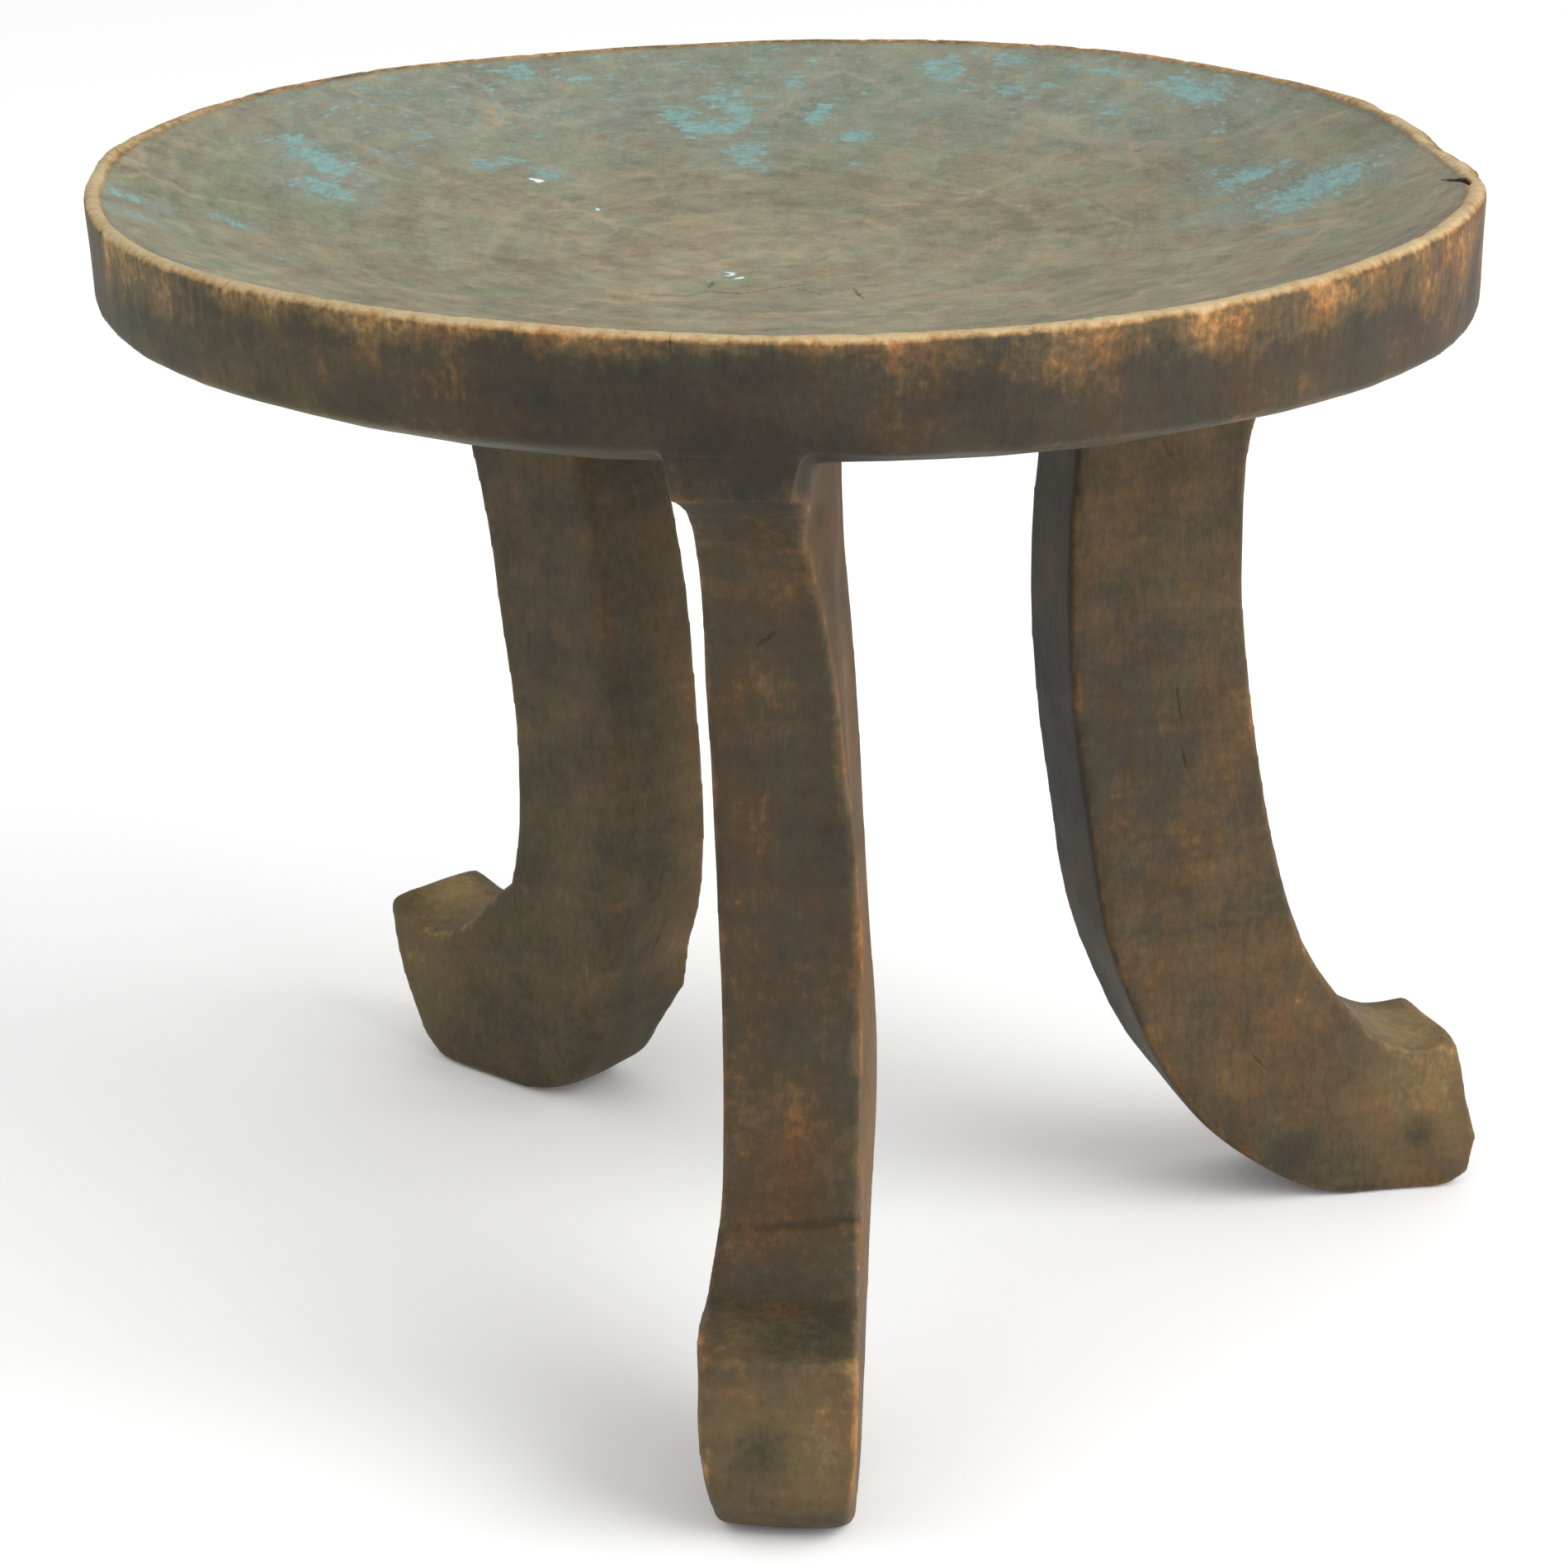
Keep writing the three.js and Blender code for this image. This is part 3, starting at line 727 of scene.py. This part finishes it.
def make_wood(name, colours):
    """The material of a piece by its masks: skin with its own tone and with painted light and shade on
    the legs, worn wood, dish, lip, paint, painted sheen under the seat, and darkened hollows.
    """
    nodes = Nodes(name)
    place = nodes.add("ShaderNodeTexCoord", {}, {}, 3) * 1000 - tuple(np.array(SEAT_MIDDLE) / MM)
    fibre = nodes.noise(place * (0.5, 0.5, 0.07), 4, 0.6)
    blotch = nodes.noise(place * 0.05, 4, 0.6)
    band = nodes.noise((place + (0, 0, 9)) * (0.03, 0.03, 0.16), 3)
    speck = nodes.noise(place * 0.42, 3, 0.6)
    grain = nodes.noise(place * (1.6, 1.6, 0.5), 2)
    tint = nodes.noise((place + (9, 40, 3)) * (0.08, 0.08, 0.05), 5, 0.65)

    fleck = nodes.noise((place + (20, 5, 11)) * (0.22, 0.22, 0.15), 4, 0.7).step(0.75, 1.5)
    gone = nodes.mask("worn") + fibre * 0.05 + speck * 0.14 + blotch * 0.24 + tint * 0.12
    gone = (gone + fleck * 0.2).step(0.16, 1.08)
    edge = (nodes.mask("edge") + fibre * 0.25 + blotch * 0.3).step(0.2, 1.1)
    # The light mask lightens and darkens the skin: the wood's own tone, and on the legs painted light
    # and shade
    bare = 0.262 + nodes.mask("light") * 0.25 + blotch * 0.1 + fibre * 0.03 + band * 0.04
    bare = bare + speck * 0.06 + grain * 0.03
    bare = bare + gone * (0.46 + fibre * 0.03 + speck * 0.08 + fleck * 0.08)
    bare = bare + edge * (0.2 + speck * 0.05)
    # Painted sheen: the underside below the wall foot is painted paler, standing in for the floor's
    # reflection
    bare = bare + nodes.mask("under") * 0.12
    lip = (nodes.mask("pale") + speck * 0.14 + blotch * 0.1).step(0.22, 0.95)
    bare = lip.between(bare, 0.92 + speck * 0.08 + blotch * 0.06 + grain * 0.04)
    warm = nodes.mask("warm") + tint * 0.6 + blotch * 0.25 + gone * 0.3 + edge * 0.3
    # The same painted sheen makes the underside greyer
    warm = (warm - nodes.mask("under") * 0.4) * (1 - lip * 0.8)
    skin = skin_colour(nodes, bare, warm, colours)

    cover = nodes.mask("dish").step(0.3, 0.7) * (1 - lip)
    olive = nodes.mask("warm").step(0, -1)
    dish = dish_colour(nodes, place, colours) * 2 ** nodes.mask("light")
    dish = olive.between(dish, dish * (0.82, 0.98, 0.98))
    axes = nodes.add("ShaderNodeSeparateXYZ", {}, {0: place})
    across = Wire(nodes, axes.socket.node.outputs[1])
    turn = nodes.add("ShaderNodeMath", {"operation": "ARCTAN2"}, {0: across, 1: axes})
    out = nodes.add("ShaderNodeVectorMath", {"operation": "LENGTH"}, {0: place * (1, 1, 0)}, 1)
    streak = nodes.noise(
        nodes.add("ShaderNodeCombineXYZ", {}, {0: out * 0.35, 1: turn * 14}), 5, 0.7)
    finer = nodes.noise(
        nodes.add("ShaderNodeCombineXYZ", {}, {0: out * 0.7, 1: turn * 30, 2: 5}), 3, 0.65)
    dab = nodes.noise(place * 0.3, 4, 0.7)
    amount = nodes.mask("paint") + streak * 0.24 + finer * 0.26 + dab * 0.22
    film = amount.step(0.1, 1) * nodes.mask("paint").step(0.02, 0.5) * 0.65
    flake = amount.step(0.62, 0.82) * nodes.mask("paint").step(0.05, 0.3)
    blue = (dab + finer).step(-0.8, 1).between(colours.paint, colours.paint_light)
    blue = nodes.mask("paint").step(1.2, 1.4).between(blue, (0.85, 0.85, 0.76))
    dish = film.between(dish, colours.haze)
    dish = (flake * 0.7).between(dish, blue)

    colour = cover.between(skin, dish)
    # Hollows and cut lines are darkened towards near black
    dirt = (nodes.mask("dirt") * (0.8 + speck * 0.15)).step(0, 1)
    nodes.put(nodes.surface.inputs["Base Color"], dirt.between(colour, (0.022, 0.019, 0.015)))
    rough = 0.6 + speck * 0.04 + gone * 0.08 - blotch * 0.03 - nodes.mask("under") * 0.1
    nodes.put(nodes.surface.inputs["Roughness"], rough)
    nodes.surface.inputs["Specular IOR Level"].default_value = 0.18
    relief = fibre * 0.03 * (1 - cover) + speck * 0.03 + grain * 0.035
    relief = relief + flake * cover * 0.09 - gone * 0.05
    bump = nodes.add("ShaderNodeBump", {}, {"Strength": 1, "Distance": MM, "Height": relief})
    nodes.put(nodes.surface.inputs["Normal"], bump)
    return nodes.material


def finish_piece(context, node, slot):
    """Cut, mark and colour one carved piece, and let it stand for its solid."""
    piece = bpy.data.objects["carved_" + node]
    cut = cut_lines(piece, CRACKS)
    mark_wood(piece, cut)
    only(piece)
    bpy.ops.object.shade_smooth_by_angle(angle=math.radians(45))
    piece.data.materials.clear()
    name = "carved_" + slot
    piece.data.materials.append(
        bpy.data.materials.get(name) or make_wood(name, context.scene.stool_colours))
    check_closed(piece)
    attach(piece, BODY)
    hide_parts(node)


class STOOL_OT_rough_block(Operator):
    """Join copies of the solids to the one block that the stool was carved from"""

    bl_idname = "stool.rough_block"
    bl_label = "Rough block"

    def execute(self, context):
        seat = copy_of(SEAT)
        seat_tree = tree_of(seat.data)
        legs = [copy_of(name) for name in LEGS]
        for leg in legs:
            for vertex in leg.data.vertices:
                if seat_tree.find_nearest(vertex.co)[3] < 1 * MM:
                    vertex.co.z += 3 * MM
        only(seat, *legs)
        bpy.ops.object.join()
        seat.name = seat.data.name = "block"
        apply_modifier(
            seat, "REMESH", mode="VOXEL", voxel_size=context.scene.stool_sizes.grid, adaptivity=0)
        return {"FINISHED"}


class STOOL_OT_carve_block(Operator):
    """Give the block the unevenness, the tool marks and the wear of the real one"""

    bl_idname = "stool.carve_block"
    bl_label = "Carve and wear"

    def execute(self, context):
        sizes = context.scene.stool_sizes
        mesh = bpy.data.objects["block"].data
        edges = edges_of(mesh)
        points = rubbed(points_of(mesh), edges, sizes.rounding)
        place = in_mm(points)
        for *spot, reach, x, y, z in PUSHES:
            share = soft_spot(place, spot, reach)[:, None] * MM
            free = np.stack([np.ones(len(place))] * 2 + [place[:, 2] > SOLE_GUARD], axis=1)
            points += share * (x, y, z) * free
        for reach, corners in EDGE_SHIFTS:
            away, shift = beside_line(place, corners)
            points += shift * np.exp(-(away / reach) ** 2)[:, None] * MM
        soft = rubbed(points, edges, 26)
        share = np.zeros(len(place))
        for *spot, reach in ROUND_CORNERS:
            share = np.maximum(share, np.minimum(1, 1.6 * soft_spot(place, spot, reach)))
        for reach, corners in SMOOTH_EDGES:
            near = np.exp(-(beside_line(place, corners)[0] / reach) ** 2)
            share = np.maximum(share, np.minimum(1, 1.6 * near))
        points += (soft - points) * share[:, None]
        move_points(mesh, points)

        normals = normals_of(mesh)
        place = in_mm(points)
        bumps = unevenness(place, 55, 1) + 0.4 * unevenness(place, 21, 2)
        under = smooth_step(-normals[:, 2], 0.2, 0.6) * (place[:, 2] > 100)
        hollows = (blade_hollows(place, 19, 3) - 0.3) * (0.45 + 0.9 * under)
        below = below_lip(place)
        out = np.hypot(place[:, 0], place[:, 1])
        lip = smooth_step(out, 161, 165) * (1 - smooth_step(below, 1.5, 5))
        nick = smooth_step(unevenness(place, 3.2, 11), 0.25, 0.8) + 0.5 * unevenness(place, 9, 12)
        push = sizes.waviness * bumps + sizes.tool_marks * hollows - sizes.nicks * lip * nick
        moved = points + normals * push[:, None]
        moved[:, 2] = np.where(points[:, 2] < SOLE_GUARD * MM, points[:, 2], moved[:, 2])
        move_points(mesh, moved)
        bulge = (moved - rubbed(moved, edges, 14)) * normals_of(mesh)
        write_mask(mesh, "bulge", bulge.sum(axis=1) / MM)
        return {"FINISHED"}


class STOOL_OT_part_pieces(Operator):
    """Part the carved block into the seat and the three legs, along the creases between them"""

    bl_idname = "stool.part_pieces"
    bl_label = "Part the seat and the legs"

    def execute(self, context):
        block = bpy.data.objects["block"]
        mesh = block.data
        trees = {name: tree_of(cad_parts[name].data) for name in (SEAT, *LEGS)}
        middles = middles_of(mesh)
        at = [(sum(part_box(name), Vector()) / 2 - SEAT_MIDDLE) for name in LEGS]
        toward = np.array([Vector((one.x, one.y)).normalized() for one in at])
        place = in_mm(middles)
        legs = 1 + (place[:, :2] @ toward.T).argmax(axis=1)
        beside = np.abs(np.cross(toward[legs - 1], place[:, :2]))
        high, shared = place[:, 2] > ALL_SEAT_ABOVE, place[:, 2] > ALL_LEGS_BELOW
        owner = np.where(high | (beside > SHOULDER_REACH) & shared, 0, legs)
        for i in np.where((owner > 0) & shared)[0]:
            spot = Vector(middles[i])
            seat_gap = trees[SEAT].find_nearest(spot)[3]
            if seat_gap <= trees[LEGS[owner[i] - 1]].find_nearest(spot)[3]:
                owner[i] = 0
        corners = np.empty(len(mesh.loops), np.int32)
        mesh.loops.foreach_get("vertex_index", corners)
        corners = corners.reshape(len(middles), -1)
        for _ in range(4):
            seat_share = np.bincount(corners.ravel(), np.repeat(owner == 0, corners.shape[1]))
            seat_share /= np.bincount(corners.ravel())
            owner = np.where(seat_share[corners].mean(axis=1) > 0.5, 0, legs)
        for name, number in zip(LEGS, (1, 2, 3)):
            owned = owner == number
            owner = owner[~owned]
            select_faces(block, owned)
            bpy.ops.mesh.separate(type="SELECTED")
            bpy.ops.object.mode_set(mode="OBJECT")
            part = [thing for thing in context.selected_objects if thing != block][0]
            part.name = part.data.name = "carved_" + name
        block.name = mesh.name = "carved_" + SEAT
        for name in (SEAT, *LEGS):
            close_up(bpy.data.objects["carved_" + name])
        return {"FINISHED"}


class STOOL_OT_seat(Operator):
    """Thin, cut, mark and colour the seat"""

    bl_idname = "stool.seat"
    bl_label = "Seat"

    def execute(self, context):
        piece = bpy.data.objects["carved_" + SEAT]
        share = context.scene.stool_sizes.seat_faces / len(piece.data.polygons)
        if share < 1:
            apply_modifier(piece, "DECIMATE", ratio=share)
        finish_piece(context, SEAT, "seat_wood")
        return {"FINISHED"}


class STOOL_OT_legs(Operator):
    """Cut, mark and colour the three legs"""

    bl_idname = "stool.legs"
    bl_label = "Legs"

    def execute(self, context):
        for name in LEGS:
            finish_piece(context, name, "leg_wood")
        return {"FINISHED"}


class STOOL_OT_stage(Operator):
    """Set the floor, the lights and the camera"""

    bl_idname = "stool.stage"
    bl_label = "Stage"

    def execute(self, context):
        bpy.ops.object.select_all(action="DESELECT")
        bpy.ops.mesh.primitive_plane_add(size=14, location=(0, 0, -0.2 * MM))
        floor = context.object
        floor.name = "floor"
        paper = bpy.data.materials.new("floor")
        paper.use_nodes = True
        surface = paper.node_tree.nodes["Principled BSDF"]
        surface.inputs["Base Color"].default_value = (0.94, 0.94, 0.94, 1)
        surface.inputs["Roughness"].default_value = 0.9
        floor.data.materials.append(paper)

        world = bpy.data.worlds.new("studio")
        context.scene.world = world
        world.use_nodes = True
        sky = world.node_tree.nodes["Background"]
        sky.inputs["Color"].default_value = (1, 1, 1, 1)
        sky.inputs["Strength"].default_value = 0.9

        for name, place, size, power in (
            ("key", (1.9, -1.1, 1.4), 2.2, 60),
            ("fill", (-1.6, -1.2, 1.2), 2, 8),
        ):
            light = bpy.data.lights.new(name, "AREA")
            light.size, light.energy = size, power
            lamp = bpy.data.objects.new(name, light)
            lamp.location = place
            toward = Vector((0, 0, 0.15)) - Vector(place)
            lamp.rotation_euler = toward.to_track_quat("-Z", "Y").to_euler()
            context.scene.collection.objects.link(lamp)

        lens = bpy.data.cameras.new("camera")
        lens.sensor_width, lens.lens = SENSOR_WIDTH, FOCAL_PIXELS / PICTURE_WIDTH * SENSOR_WIDTH
        camera = bpy.data.objects.new("camera", lens)
        context.scene.collection.objects.link(camera)
        pitch, roll = CAMERA_PITCH, CAMERA_ROLL
        ahead = Vector((0, math.cos(pitch), -math.sin(pitch)))
        right, up = Vector((1, 0, 0)), Vector((0, math.sin(pitch), math.cos(pitch)))
        camera_right = right * math.cos(roll) - up * math.sin(roll)
        camera_up = right * math.sin(roll) + up * math.cos(roll)
        turn = Matrix((camera_right, camera_up, -ahead)).transposed().to_4x4()
        place = SEAT_MIDDLE + Vector(CAMERA_PLACE) * MM
        camera.matrix_world = Matrix.Translation(place) @ turn
        context.scene.camera = camera
        context.scene.view_settings.view_transform = "Standard"
        return {"FINISHED"}


class STOOL_PT_panel(Panel):
    bl_label = "Carved stool"
    bl_space_type = "VIEW_3D"
    bl_region_type = "UI"
    bl_category = "Stool"

    def draw(self, context):
        for group in (context.scene.stool_sizes, context.scene.stool_colours):
            for name in group.__annotations__:
                self.layout.prop(group, name)
        for operator in OPERATORS:
            self.layout.operator(operator.bl_idname)


OPERATORS = (STOOL_OT_rough_block, STOOL_OT_carve_block, STOOL_OT_part_pieces, STOOL_OT_seat,
             STOOL_OT_legs, STOOL_OT_stage)
CLASSES = (StoolSizes, StoolColours, *OPERATORS, STOOL_PT_panel)


def register():
    for item in CLASSES:
        bpy.utils.register_class(item)
    bpy.types.Scene.stool_sizes = PointerProperty(type=StoolSizes)
    bpy.types.Scene.stool_colours = PointerProperty(type=StoolColours)


def unregister():
    del bpy.types.Scene.stool_colours
    del bpy.types.Scene.stool_sizes
    for item in reversed(CLASSES):
        bpy.utils.unregister_class(item)


def main():
    register()
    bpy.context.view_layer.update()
    bpy.ops.stool.rough_block()
    bpy.ops.stool.carve_block()
    bpy.ops.stool.part_pieces()
    bpy.ops.stool.seat()
    bpy.ops.stool.legs()
    bpy.ops.stool.stage()


if __name__ == "__main__":
    main()
